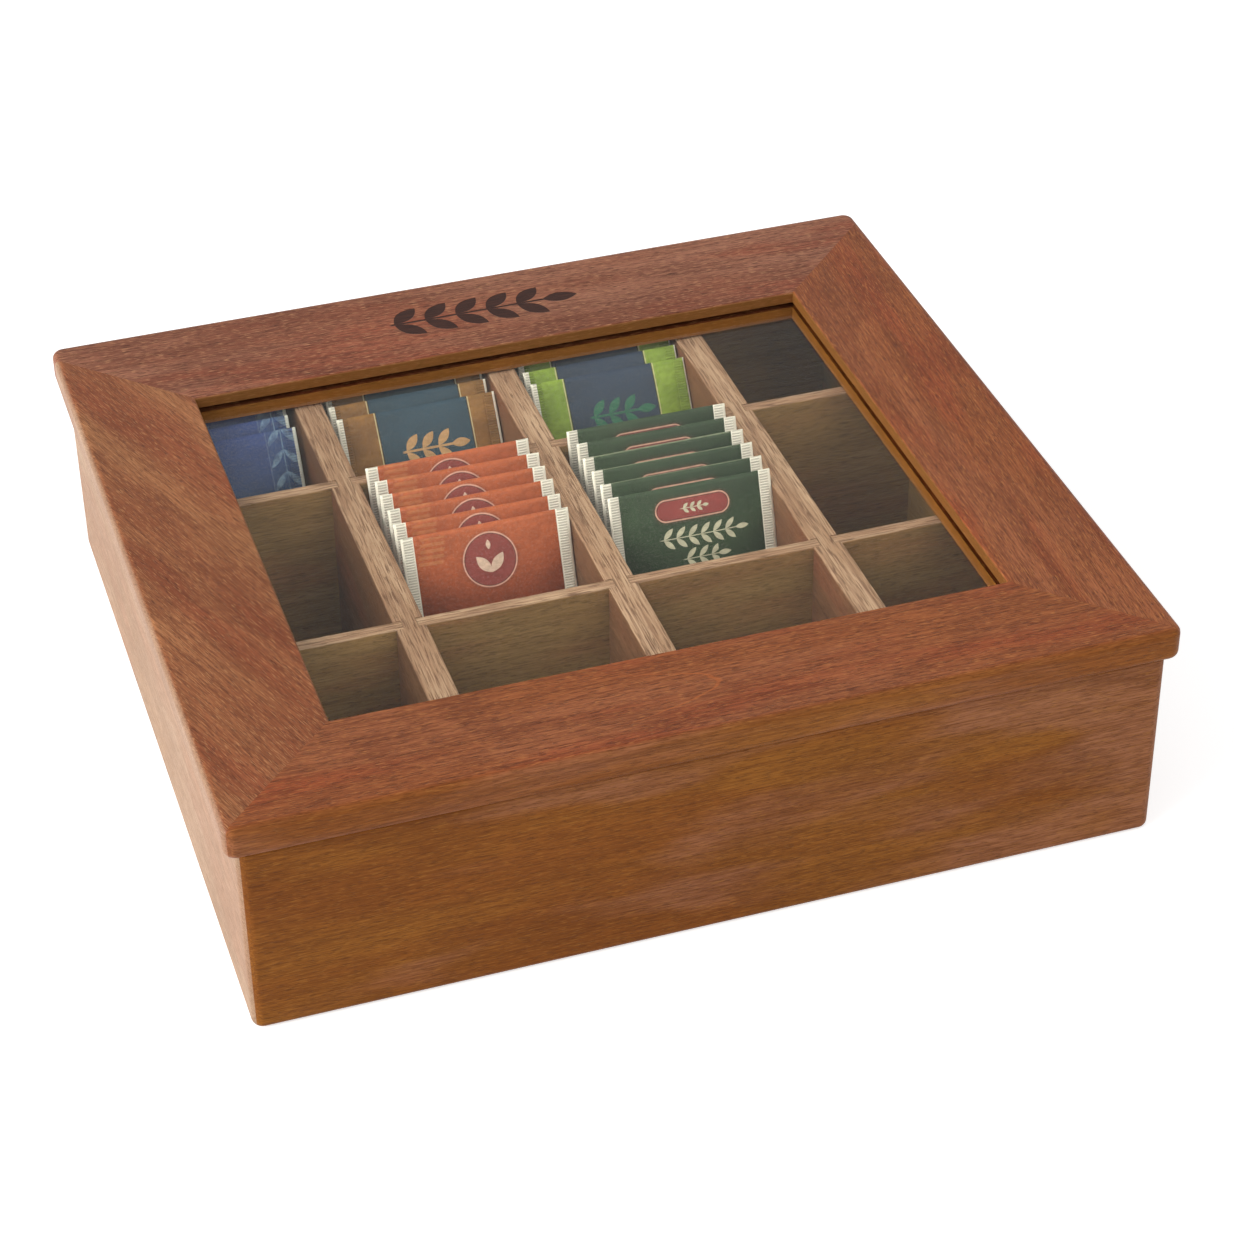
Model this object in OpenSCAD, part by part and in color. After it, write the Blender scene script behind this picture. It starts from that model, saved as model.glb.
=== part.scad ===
// Tea chest: a mitred hardwood case of twelve compartments under a hinged lid with a window.
// Millimetres, +Z up. The origin lies under the middle of the closed lid, where the case stands.

/* [Compartments] */
// Clear width of a compartment, left to right
cell_w = 67; // [55:0.5:90]
// Clear depth of a compartment, front to back
cell_d = 89.5; // [75:0.5:120]
// Thickness of the long dividers that run front to back
long_divider_t = 11; // [8:0.5:16]
// Thickness of the short cross dividers
cross_divider_t = 5; // [3:0.5:8]
// How far the dividers stop below the top of the walls
divider_drop = 0.7; // [0.5:0.1:6]
// Radius of the dividers' top edges
divider_edge_r = 0.8; // [0.3:0.1:1.2]
// Depth of the housings in the walls that hold the dividers
wall_housing = 4; // [2:0.5:5]
// Depth of the housings in the long dividers that hold the cross dividers
cross_housing = 3; // [2:0.5:3.5]
// Gap between a divider's end and the floor of its housing
housing_play = 0.2; // [0:0.1:0.5]

/* [Case] */
// Height of the walls
case_h = 75.5; // [60:0.5:110]
// Thickness of the walls
wall_t = 13; // [11:0.5:18]
// Radius of the upright corners
case_corner_r = 4; // [3.5:0.5:7]
// Radius along the foot of the walls' outside
case_foot_r = 2.5; // [0.5:0.1:3]
// Radius along the top of the walls' outside
case_edge_r = 1.2; // [0.5:0.1:2.5]
// Thickness of the bottom panel
panel_t = 4; // [3:0.5:6]
// Height of the panel's underside above the foot
panel_lift = 3; // [2:0.5:8]
// Depth of the groove round the panel
panel_groove = 5; // [3:0.5:7]
// Gap between the panel's edge and the floor of its groove
panel_play = 0.5; // [0.2:0.1:1]

/* [Lid] */
// Thickness of the lid frame
lid_t = 12.6; // [11:0.1:18]
// Gap between the walls and the closed lid
lid_gap = 0.3; // [0.2:0.1:0.6]
// How far the lid stands over each side
side_overhang = 4; // [1:0.5:8]
// How far the lid stands over the front
front_overhang = 2.5; // [1:0.5:8]
// How far the lid stands over the back, above the hinges
back_overhang = 5.5; // [5:0.5:9]
// Width of the left and right stiles
stile_w = 46; // [36:1:60]
// Width of the front rail
front_rail_w = 46; // [36:1:60]
// Width of the back rail
back_rail_w = 55; // [36:1:75]
// Radius of the lid's outer edges, above and below
lid_edge_r = 2.8; // [1:0.1:3.5]
// Radius of the lid's four corners
lid_corner_r = 4.5; // [4:0.5:8]

/* [Window] */
// Thickness of the clear pane
pane_t = 2; // [1.5:0.5:3]
// Height of the lip above the pane's groove
upper_lip = 4.5; // [3:0.5:6]
// Free height above the pane in its groove
pane_gap = 1; // [0.5:0.1:1.5]
// Depth of the groove round the pane
pane_groove = 6; // [4:0.5:9]
// Gap between the pane's edge and the floor of its groove
pane_play = 0.8; // [0.3:0.1:1.5]
// Bevel along the top edge of the window
lip_bevel = 0.6; // [0.3:0.1:1]

/* [Hinges] */
// Length of each hinge
hinge_len = 38; // [30:1:60]
// Distance from the case's side to the nearer end of its hinge
hinge_inset = 36; // [20:1:60]
// Width of a hinge leaf on the wood
leaf_w = 9; // [7:0.5:9]
// Thickness of a hinge leaf
leaf_t = 1.2; // [0.8:0.1:1.6]
// Outside diameter of the knuckles
knuckle_d = 4.6; // [4:0.1:5]
// Gap between neighbouring knuckles
knuckle_gap = 0.3; // [0.2:0.1:0.5]
// Gap between the knuckles and the wood round them
knuckle_clear = 0.4; // [0.3:0.1:0.8]
// Diameter of the hinge pin
pin_d = 2.2; // [1.6:0.1:2.6]
// Radial clearance of the pin in the knuckles
pin_fit = 0.05; // [0.02:0.01:0.1]
// Diameter of the pin's heads
pin_head_d = 3.4; // [3:0.1:4]
// Thickness of the pin's heads
pin_head_t = 0.8; // [0.5:0.1:1.2]
// Gap between a hinge's end and each head of its pin
pin_head_gap = 0.1; // [0.1:0.1:0.3]

/* [Screws] */
// Diameter of the hinge screws
screw_d = 2.2; // [1.6:0.1:2.6]
// Diameter of the countersunk heads
screw_head_d = 4.4; // [3.6:0.1:5]
// Length of the screws, head included
screw_len = 9; // [6:0.5:10]
// Distance from a leaf's end to its screw
screw_inset = 8; // [6:0.5:10]
// Radial clearance round the screws
screw_fit = 0.05; // [0.02:0.01:0.1]

/* [Sachets] */
// Height of a sachet
sachet_h = 76; // [60:1:85]
// Thickness of a filled sachet at its middle
sachet_t = 7.5; // [5:0.5:9]
// Sideways room that a sachet leaves in its compartment
sachet_play = 3.7; // [1:0.1:8]
// Width of the crimped seam at each side of a sachet
crimp_w = 5; // [3:0.5:8]
// Thickness of a crimped seam
crimp_t = 0.7; // [0.4:0.1:1.2]
// Gap between a sachet and what it stands on or leans on
sachet_seat = 0.3; // [0.2:0.1:0.6]
// Free room between the middle row's sachets and the pane
pane_headroom = 1.2; // [1:0.1:8]
// Free room between the back row's sachets and the lid
rail_headroom = 2.9; // [1:0.1:6]
// Slack between neighbouring sachets of the middle row
middle_slack = 1.7; // [0.3:0.1:3]
// Slack between neighbouring sachets of the back row
back_slack = 0.3; // [0.3:0.1:3]
// Extra lean of each sachet towards the front of a middle stack, in degrees
middle_fan = 0.1; // [0:0.1:2]
// Extra lean of each sachet towards the front of a back stack, in degrees
back_fan = 0.1; // [0:0.1:1]
// Place of the blue stack between the left (-1) and right (1) sides of its compartment
blue_shift = -0.4; // [-1:0.1:1]
// The same for the tan stack
tan_shift = 0.6; // [-1:0.1:1]
// The same for the lime stack
lime_shift = 0.9; // [-1:0.1:1]
// The same for the orange stack
orange_shift = 0.9; // [-1:0.1:1]
// The same for the green stack
green_shift = 0.9; // [-1:0.1:1]

/* [Hidden] */

// Overshoot of a cutting body past the face that it opens
over = 1;
// Smoothness of the round parts
$fn = 48;

// Compartments and case
columns = 4;
rows = 3;
case_w = columns * cell_w + (columns - 1) * long_divider_t + 2 * wall_t;
case_d = rows * cell_d + (rows - 1) * cross_divider_t + 2 * wall_t;
lid_w = case_w + 2 * side_overhang;
lid_d = case_d + front_overhang + back_overhang;
case_front = front_overhang - lid_d / 2;
case_back = lid_d / 2 - back_overhang;
case_mid = (case_front + case_back) / 2;
panel_top = panel_lift + panel_t;
divider_top = case_h - divider_drop;

// Lid
lid_bottom = case_h + lid_gap;
lid_top = lid_bottom + lid_t;
window_w = lid_w - 2 * stile_w;
window_front = front_rail_w - lid_d / 2;
window_back = lid_d / 2 - back_rail_w;
window_d = window_back - window_front;
window_mid = (window_front + window_back) / 2;
groove_top = lid_top - upper_lip;
pane_bottom = groove_top - pane_gap - pane_t;

// Hinges: the pin lies behind the case, level with the gap under the lid
knuckle_r = knuckle_d / 2;
relief_r = knuckle_r + knuckle_clear;
hinge_x = case_w / 2 - hinge_inset - hinge_len / 2;
hinge_y = case_back + relief_r;
hinge_z = case_h + lid_gap / 2;
knuckles = 5;
knuckle_len = (hinge_len - (knuckles - 1) * knuckle_gap) / knuckles;
screw_x = hinge_len / 2 - screw_inset;
screw_y = -relief_r - leaf_w / 2;
pin_len = hinge_len + 2 * pin_head_gap;

// Sachets
sachets_most = 6;
sachet_w = cell_w - sachet_play;
belly_w = sachet_w - 2 * crimp_w;
shift_room = sachet_play / 2 - sachet_seat;
stand_z = panel_top + sachet_seat + crimp_t / 2;
middle_lean = acos(min(1, (pane_bottom - pane_headroom - stand_z) / sachet_h));
back_lean = acos(min(1, (lid_bottom - rail_headroom - stand_z) / sachet_h));

// Middle of a column, of a row, and of the dividers after them
function column_x(i) = wall_t - case_w / 2 + cell_w / 2 + i * (cell_w + long_divider_t);
function row_y(j) = case_front + wall_t + cell_d / 2 + j * (cell_d + cross_divider_t);
function long_divider_x(i) = column_x(i) + (cell_w + long_divider_t) / 2;
function cross_divider_y(j) = row_y(j) + (cell_d + cross_divider_t) / 2;

// Radius of an arc from its chord and its rise
function arc_r(chord, rise) = (chord * chord / 4 + rise * rise) / (2 * rise);

// Half the thickness of a sachet at distance s below its top
function belly(s) = 2 * sachet_t * s * (sachet_h - s) / (sachet_h * sachet_h);

// Where, below its top, a leaning sachet comes nearest to what it rests on. The rest begins at
// distance s_rest below the sachet's top.
function touch(lean, s_rest) =
    max(s_rest, sachet_h / 2 * (1 - tan(lean) * sachet_h / (2 * sachet_t)));

// Distance at s_rest from the rest to the middle of the sachet's thickness
function rest_gap(lean, s_rest) = sachet_seat
    + max(crimp_t / 2, belly(touch(lean, s_rest)) - (touch(lean, s_rest) - s_rest) * sin(lean));

// Distance between the tops of neighbouring sachets, and how many fit in a compartment
function sachet_pitch(lean, slack) = (sachet_t + slack) / cos(lean);
function sachet_room(lean, fan, s_rest) =
    cell_d - rest_gap(lean, s_rest) - sachet_h * sin(lean + (sachets_most - 1) * fan) - sachet_t / 2;
function sachet_count(lean, fan, slack, s_rest) =
    min(sachets_most, 1 + floor(max(0, sachet_room(lean, fan, s_rest)) / sachet_pitch(lean, slack)));

// ---- Shared shapes ----

// Upright section of a slab standing on Y = 0, rounded at its foot and along its top
module slab_section(w, h, foot_r, top_r) {
    translate([-w / 2, foot_r]) square([w, h - foot_r - top_r]);
    translate([foot_r - w / 2, 0]) square([w - 2 * foot_r, h / 2]);
    translate([top_r - w / 2, h / 2]) square([w - 2 * top_r, h / 2]);
    for (x = [-1, 1]) {
        translate([x * (w / 2 - foot_r), foot_r]) circle(r = foot_r);
        translate([x * (w / 2 - top_r), h - top_r]) circle(r = top_r);
    }
}

// Quarter of a slab's round corner, between +X and +Y
module slab_corner(h, foot_r, top_r, corner_r) {
    rotate_extrude(angle = 90) intersection() {
        slab_section(2 * corner_r, h, foot_r, top_r);
        square([corner_r, h]);
    }
}

// Slab standing on Z = 0 with round corners, and an edge that is rounded all the way round
module soft_slab(w, d, h, foot_r, top_r, corner_r) {
    rotate([90, 0, 90]) linear_extrude(height = w - 2 * corner_r, center = true)
        slab_section(d, h, foot_r, top_r);
    rotate([90, 0, 0]) linear_extrude(height = d - 2 * corner_r, center = true)
        slab_section(w, h, foot_r, top_r);
    for (turn = [0, 180]) rotate([0, 0, turn]) {
        translate([w / 2 - corner_r, d / 2 - corner_r, 0])
            slab_corner(h, foot_r, top_r, corner_r);
        translate([corner_r - w / 2, d / 2 - corner_r, 0]) rotate([0, 0, 90])
            slab_corner(h, foot_r, top_r, corner_r);
    }
}

// Board on edge with a rounded top, running along Y, standing on Z = 0
module divider_board(t, length, h) {
    rotate([90, 0, 0]) linear_extrude(height = length, center = true) {
        translate([-t / 2, 0]) square([t, h - divider_edge_r]);
        translate([divider_edge_r - t / 2, 0]) square([t - 2 * divider_edge_r, h]);
        for (x = [-1, 1])
            translate([x * (t / 2 - divider_edge_r), h - divider_edge_r]) circle(r = divider_edge_r);
    }
}

// Children at the left hinge, at the right hinge, or at both
module at_hinge(side) {
    translate([side * hinge_x, hinge_y, hinge_z]) children();
}

module at_both_hinges() {
    for (side = [-1, 1]) at_hinge(side) children();
}

// ---- Case ----

module case_blank() {
    translate([0, case_mid, 0])
        soft_slab(case_w, case_d, case_h, case_foot_r, case_edge_r, case_corner_r);
}

// Plan of one wall, mitred at 45 degrees: outer edge of the given length on Y = 0, inside towards +Y
module wall_plan(length) {
    linear_extrude(height = case_h)
        polygon([
            [-length / 2, 0], [length / 2, 0],
            [length / 2 - wall_t, wall_t], [wall_t - length / 2, wall_t]
        ]);
}

// Groove round the inside that holds the bottom panel
module panel_cut() {
    inner_w = case_w - 2 * wall_t;
    inner_d = case_d - 2 * wall_t;
    translate([-inner_w / 2 - panel_groove, case_mid - inner_d / 2 - panel_groove, panel_lift])
        cube([inner_w + 2 * panel_groove, inner_d + 2 * panel_groove, panel_t]);
}

// Housings of the long dividers, cut into the front and back walls from the top
module long_housings() {
    length = case_d - 2 * wall_t + 2 * wall_housing;
    for (i = [0 : columns - 2])
        translate([long_divider_x(i) - long_divider_t / 2, case_mid - length / 2, panel_top])
            cube([long_divider_t, length, case_h]);
}

// Housings of the cross dividers, cut into the side walls from the top
module cross_housings() {
    length = case_w - 2 * wall_t + 2 * wall_housing;
    for (j = [0 : rows - 2])
        translate([-length / 2, cross_divider_y(j) - cross_divider_t / 2, panel_top])
            cube([length, cross_divider_t, case_h]);
}

// Seat of a hinge leaf and the holes of its screws, cut into the wood below Z = 0
module leaf_seat() {
    translate([-hinge_len / 2, -relief_r - leaf_w, -lid_gap / 2 - leaf_t])
        cube([hinge_len, leaf_w + over, leaf_t + over]);
    for (x = [-1, 1]) translate([x * screw_x, screw_y, -lid_gap / 2]) screw_shape(screw_fit);
}

module front_wall() {
    color("saddlebrown") difference() {
        intersection() {
            case_blank();
            translate([0, case_front, 0]) wall_plan(case_w);
        }
        panel_cut();
        long_housings();
    }
}

module back_wall() {
    color("saddlebrown") difference() {
        intersection() {
            case_blank();
            translate([0, case_back, 0]) rotate([0, 0, 180]) wall_plan(case_w);
        }
        panel_cut();
        long_housings();
        at_both_hinges() leaf_seat();
    }
}

module side_wall(side) {
    color("sienna") difference() {
        intersection() {
            case_blank();
            translate([side * case_w / 2, case_mid, 0]) rotate([0, 0, side * 90]) wall_plan(case_d);
        }
        panel_cut();
        cross_housings();
    }
}

module bottom_panel() {
    w = case_w - 2 * wall_t + 2 * (panel_groove - panel_play);
    d = case_d - 2 * wall_t + 2 * (panel_groove - panel_play);
    color("peru") translate([-w / 2, case_mid - d / 2, panel_lift]) cube([w, d, panel_t]);
}

// Long divider number i from the left, housed in the front and back walls
module long_divider(i) {
    length = case_d - 2 * wall_t + 2 * (wall_housing - housing_play);
    height = divider_top - panel_top;
    color("tan") difference() {
        translate([long_divider_x(i), case_mid, panel_top]) divider_board(long_divider_t, length, height);
        for (j = [0 : rows - 2], side = [-1, 1])
            translate([
                long_divider_x(i) + side * (long_divider_t / 2 - cross_housing / 2),
                cross_divider_y(j),
                panel_top + height / 2
            ])
                cube([cross_housing, cross_divider_t, height + 2 * over], center = true);
    }
}

// Cross divider in column i after row j, housed in the walls or the long dividers at its ends
module cross_divider(i, j) {
    left_end = i == 0 ? wall_housing : cross_housing;
    right_end = i == columns - 1 ? wall_housing : cross_housing;
    length = cell_w + left_end + right_end - 2 * housing_play;
    shift = (right_end - left_end) / 2;
    color("burlywood")
        translate([column_x(i) + shift, cross_divider_y(j), panel_top])
            rotate([0, 0, 90]) divider_board(cross_divider_t, length, divider_top - panel_top);
}

// ---- Hinges ----

// Length along the pin of knuckle k, from its start
function knuckle_x(k) = k * (knuckle_len + knuckle_gap) - hinge_len / 2;

// Knuckles number first, first + 2 and so on, with the tongues that join them to the leaf below
module knuckle_row(first) {
    for (k = [first : 2 : knuckles - 1]) {
        translate([knuckle_x(k), 0, 0]) rotate([0, 90, 0]) cylinder(h = knuckle_len, r = knuckle_r);
        translate([knuckle_x(k), -relief_r - over, -lid_gap / 2 - leaf_t])
            cube([knuckle_len, relief_r + over, leaf_t]);
    }
}

// One leaf, lying below the pin's level, with its knuckles and countersunk holes
module hinge_leaf(first) {
    difference() {
        union() {
            translate([-hinge_len / 2, -relief_r - leaf_w, -lid_gap / 2 - leaf_t])
                cube([hinge_len, leaf_w, leaf_t]);
            knuckle_row(first);
        }
        translate([-hinge_len / 2 - over, 0, 0]) rotate([0, 90, 0])
            cylinder(h = hinge_len + 2 * over, r = pin_d / 2 + pin_fit);
        for (x = [-1, 1]) translate([x * screw_x, screw_y, -lid_gap / 2]) screw_shape(screw_fit);
    }
}

// Countersunk screw pointing down from Z = 0, with its hole's clearance round it
module screw_shape(fit) {
    sink = (screw_head_d - screw_d) / 2;
    translate([0, 0, -sink]) cylinder(h = sink, r1 = screw_d / 2 + fit, r2 = screw_head_d / 2 + fit);
    translate([0, 0, -screw_len]) cylinder(h = screw_len - sink, r = screw_d / 2 + fit);
}

module hinge_pin() {
    color("goldenrod") rotate([0, 90, 0]) {
        translate([0, 0, -pin_len / 2]) cylinder(h = pin_len, r = pin_d / 2);
        for (end = [-1, 1])
            translate([0, 0, end * (pin_len + pin_head_t) / 2])
                cylinder(h = pin_head_t, r = pin_head_d / 2, center = true);
    }
}

// Two screws of a leaf that lies below the pin's level
module leaf_screws() {
    color("gold") for (x = [-1, 1])
        translate([x * screw_x, screw_y, -lid_gap / 2]) screw_shape(0);
}

module case_leaf_screws() {
    at_both_hinges() leaf_screws();
}

module lid_leaf_screws() {
    at_both_hinges() mirror([0, 0, 1]) leaf_screws();
}

// The leaf that lies on the case, and the same leaf turned over for the lid
module case_leaf() {
    color("gold") hinge_leaf(0);
}

module lid_leaf() {
    color("gold") mirror([0, 0, 1]) hinge_leaf(1);
}

// ---- Lid ----

module lid_blank() {
    translate([0, 0, lid_bottom])
        soft_slab(lid_w, lid_d, lid_t, lid_edge_r, lid_edge_r, lid_corner_r);
}

// Where the mitre of a rail meets the side of the lid, measured from the rail's outer edge
function mitre_end(rail_w) = max(0, rail_w - stile_w);

// Plan of a rail: outer edge on Y = 0, window towards +Y. A rail wider than the stiles keeps
// a short square end outside its mitre.
module rail_plan(rail_w) {
    end = mitre_end(rail_w);
    linear_extrude(height = lid_top)
        polygon([
            [-lid_w / 2, 0], [lid_w / 2, 0], [lid_w / 2, end],
            [window_w / 2, rail_w], [-window_w / 2, rail_w], [-lid_w / 2, end]
        ]);
}

// Plan of the right stile, between the mitres of both rails
module stile_plan() {
    linear_extrude(height = lid_top)
        polygon([
            [window_w / 2, window_front], [lid_w / 2, mitre_end(front_rail_w) - lid_d / 2],
            [lid_w / 2, lid_d / 2 - mitre_end(back_rail_w)], [window_w / 2, window_back]
        ]);
}

// Groove for the pane, all round the window
module pane_cut() {
    translate([0, window_mid, groove_top - (pane_t + pane_gap) / 2])
        cube([window_w + 2 * pane_groove, window_d + 2 * pane_groove, pane_t + pane_gap], center = true);
}

// Bevel along the upper window edge of a rail lying along X at Y = 0
module bevel_x(y) {
    translate([0, y, lid_top]) rotate([45, 0, 0])
        cube([lid_w, lip_bevel * sqrt(2), lip_bevel * sqrt(2)], center = true);
}

// Bevel along the upper window edge of a stile
module bevel_y(x) {
    translate([x, 0, lid_top]) rotate([0, 45, 0])
        cube([lip_bevel * sqrt(2), lid_d, lip_bevel * sqrt(2)], center = true);
}

// Room for the knuckles and the pin's heads, open towards the back of the lid
module knuckle_relief() {
    length = pin_len + 2 * (pin_head_t + knuckle_clear);
    translate([-length / 2, 0, 0]) {
        rotate([0, 90, 0]) cylinder(h = length, r = relief_r);
        cube([length, back_overhang, relief_r]);
    }
}

module lid_front_rail() {
    color("sienna") difference() {
        intersection() {
            lid_blank();
            translate([0, -lid_d / 2, 0]) rail_plan(front_rail_w);
        }
        pane_cut();
        bevel_x(window_front);
    }
}

module lid_back_rail() {
    color("sienna") difference() {
        intersection() {
            lid_blank();
            translate([0, lid_d / 2, 0]) rotate([0, 0, 180]) rail_plan(back_rail_w);
        }
        pane_cut();
        bevel_x(window_back);
        at_both_hinges() {
            mirror([0, 0, 1]) leaf_seat();
            knuckle_relief();
        }
    }
}

module lid_stile(side) {
    color("sienna") difference() {
        intersection() {
            lid_blank();
            mirror([side < 0 ? 1 : 0, 0, 0]) stile_plan();
        }
        pane_cut();
        bevel_y(side * window_w / 2);
    }
}

module window_pane() {
    w = window_w + 2 * (pane_groove - pane_play);
    d = window_d + 2 * (pane_groove - pane_play);
    color("lightcyan", 0.35) translate([-w / 2, window_mid - d / 2, pane_bottom]) cube([w, d, pane_t]);
}

// ---- Sachets ----

// Pointed oval across the thickness of a sachet, along the given chord
module lens(chord) {
    r = arc_r(chord, sachet_t / 2);
    intersection() {
        translate([0, r - sachet_t / 2]) circle(r = r, $fn = 360);
        translate([0, sachet_t / 2 - r]) circle(r = r, $fn = 360);
    }
}

// One sachet standing upright on Z = 0: a flat envelope with a filled belly between crimped seams
module sachet() {
    translate([-sachet_w / 2, -crimp_t / 2, 0]) cube([sachet_w, crimp_t, sachet_h]);
    intersection() {
        linear_extrude(height = sachet_h) lens(belly_w);
        translate([0, 0, sachet_h / 2]) rotate([0, 90, 0])
            linear_extrude(height = belly_w, center = true) lens(sachet_h);
    }
}

// Stack of leaning sachets in column i, row j, whose rest behind them ends at rest_top
module sachet_stack(i, j, shift, lean, fan, slack, rest_top) {
    s_rest = max(0, stand_z + sachet_h * cos(lean) - rest_top) / cos(lean);
    top_y = row_y(j) + cell_d / 2 - rest_gap(lean, s_rest) + s_rest * sin(lean);
    for (k = [0 : sachet_count(lean, fan, slack, s_rest) - 1])
        translate([
            column_x(i) + shift * shift_room,
            top_y - k * sachet_pitch(lean, slack) - sachet_h * sin(lean + k * fan),
            stand_z
        ])
            rotate([-lean - k * fan, 0, 0]) sachet();
}

module back_stack(i, shift) {
    sachet_stack(i, rows - 1, shift, back_lean, back_fan, back_slack, case_h);
}

module middle_stack(i, shift) {
    sachet_stack(i, rows - 2, shift, middle_lean, middle_fan, middle_slack, divider_top);
}

module blue_sachets() {
    color("steelblue") back_stack(0, blue_shift);
}

module tan_sachets() {
    color("peru") back_stack(1, tan_shift);
}

module lime_sachets() {
    color("yellowgreen") back_stack(2, lime_shift);
}

module orange_sachets() {
    color("coral") middle_stack(1, orange_shift);
}

module green_sachets() {
    color("darkolivegreen") middle_stack(2, green_shift);
}

front_wall();
back_wall();
side_wall(-1);  // left_wall
side_wall(1);  // right_wall
bottom_panel();
long_divider(0);  // long_divider_left
long_divider(1);  // long_divider_middle
long_divider(2);  // long_divider_right
cross_divider(0, 0);  // cross_divider_1_front
cross_divider(0, 1);  // cross_divider_1_back
cross_divider(1, 0);  // cross_divider_2_front
cross_divider(1, 1);  // cross_divider_2_back
cross_divider(2, 0);  // cross_divider_3_front
cross_divider(2, 1);  // cross_divider_3_back
cross_divider(3, 0);  // cross_divider_4_front
cross_divider(3, 1);  // cross_divider_4_back
at_hinge(-1) case_leaf();  // left_hinge_case_leaf
at_hinge(1) case_leaf();  // right_hinge_case_leaf
at_hinge(-1) hinge_pin();  // left_hinge_pin
at_hinge(1) hinge_pin();  // right_hinge_pin
case_leaf_screws();
lid_front_rail();
lid_back_rail();
lid_stile(-1);  // lid_left_stile
lid_stile(1);  // lid_right_stile
window_pane();
at_hinge(-1) lid_leaf();  // left_hinge_lid_leaf
at_hinge(1) lid_leaf();  // right_hinge_lid_leaf
lid_leaf_screws();
blue_sachets();
tan_sachets();
lime_sachets();
orange_sachets();
green_sachets();
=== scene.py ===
"""Looks of the tea chest: stained mahogany, raw divider tops, a tinted pane, brass hinges and
stacks of tea sachets. Objects are in metres, in the frame of the CAD model. Materials and the
sachets' own shapes are worked out in millimetres."""
import math
import random

import bmesh
import bpy
from mathutils import Matrix, Vector


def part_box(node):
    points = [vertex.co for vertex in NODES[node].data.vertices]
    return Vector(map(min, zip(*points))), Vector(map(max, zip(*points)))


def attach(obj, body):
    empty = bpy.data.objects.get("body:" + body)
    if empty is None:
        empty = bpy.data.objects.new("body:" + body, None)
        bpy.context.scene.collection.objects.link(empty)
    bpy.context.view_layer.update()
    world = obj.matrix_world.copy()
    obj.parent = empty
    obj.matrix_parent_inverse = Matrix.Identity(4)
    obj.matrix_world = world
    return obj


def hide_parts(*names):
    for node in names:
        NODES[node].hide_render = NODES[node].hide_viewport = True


MM = 0.001

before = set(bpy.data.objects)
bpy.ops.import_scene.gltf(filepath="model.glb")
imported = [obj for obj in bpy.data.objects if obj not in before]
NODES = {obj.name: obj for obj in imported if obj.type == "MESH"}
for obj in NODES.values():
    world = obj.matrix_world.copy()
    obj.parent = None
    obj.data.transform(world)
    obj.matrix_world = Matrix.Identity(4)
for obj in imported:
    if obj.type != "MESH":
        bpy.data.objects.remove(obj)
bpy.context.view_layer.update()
bpy.context.scene.view_settings.view_transform = "Standard"


# ---- Camera: the photograph's view ----

CAMERA_PLACE = Vector((-0.28226, -0.93258, 0.73176))
CAMERA_AZIMUTH = 17.62
CAMERA_DEPRESSION = 35.93
CAMERA_ROLL = -0.815
CAMERA_LENS = 92.93
CAMERA_REACH = (0.01, 20.0)
SENSOR = 36.0


def add_camera():
    data = bpy.data.cameras.new("camera")
    data.sensor_fit = "HORIZONTAL"
    data.sensor_width = SENSOR
    data.lens = CAMERA_LENS
    data.clip_start, data.clip_end = CAMERA_REACH
    camera = bpy.data.objects.new("camera", data)
    turn = Matrix.Rotation(math.radians(-CAMERA_AZIMUTH), 4, "Z")
    tilt = Matrix.Rotation(math.radians(90.0 - CAMERA_DEPRESSION), 4, "X")
    roll = Matrix.Rotation(math.radians(CAMERA_ROLL), 4, "Z")
    camera.matrix_world = Matrix.Translation(CAMERA_PLACE) @ turn @ tilt @ roll
    bpy.context.scene.collection.objects.link(camera)
    bpy.context.scene.camera = camera


add_camera()


# ---- Helpers for material nodes ----

def srgb(red, green, blue):
    """A colour given in 8-bit sRGB, as the linear values that a shader takes."""
    def linear(value):
        value /= 255.0
        return value / 12.92 if value <= 0.04045 else ((value + 0.055) / 1.055) ** 2.4
    return (linear(red), linear(green), linear(blue), 1.0)


class Field:
    """A value that changes over a surface: one output of a node, with arithmetic on it."""

    def __init__(self, tree, socket):
        self.tree = tree
        self.socket = socket

    def math(self, operation, *others):
        node = self.tree.nodes.new("ShaderNodeMath")
        node.operation = operation
        for socket, value in zip(node.inputs, (self, *others)):
            feed(self.tree, socket, value)
        return Field(self.tree, node.outputs[0])

    def __add__(self, other):
        return self.math("ADD", other)

    def __sub__(self, other):
        return self.math("SUBTRACT", other)

    def __mul__(self, other):
        return self.math("MULTIPLY", other)

    def __abs__(self):
        return self.math("ABSOLUTE")

    def most(self, other):
        return self.math("MAXIMUM", other)

    def rise(self, low, high):
        """0 below low, 1 above high and smooth between them."""
        node = self.tree.nodes.new("ShaderNodeMapRange")
        node.interpolation_type = "SMOOTHSTEP"
        feed(self.tree, node.inputs["Value"], self)
        node.inputs["From Min"].default_value = low
        node.inputs["From Max"].default_value = high
        return Field(self.tree, node.outputs["Result"])

    def between(self, low, high, soft=0.10):
        """1 between two values, with soft ends."""
        return self.rise(low - soft, low + soft) * self.rise(high + soft, high - soft)


def feed(tree, socket, value):
    """Links a Field to a socket, or sets the socket to a plain value."""
    if isinstance(value, Field):
        tree.links.new(value.socket, socket)
    else:
        socket.default_value = value


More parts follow.
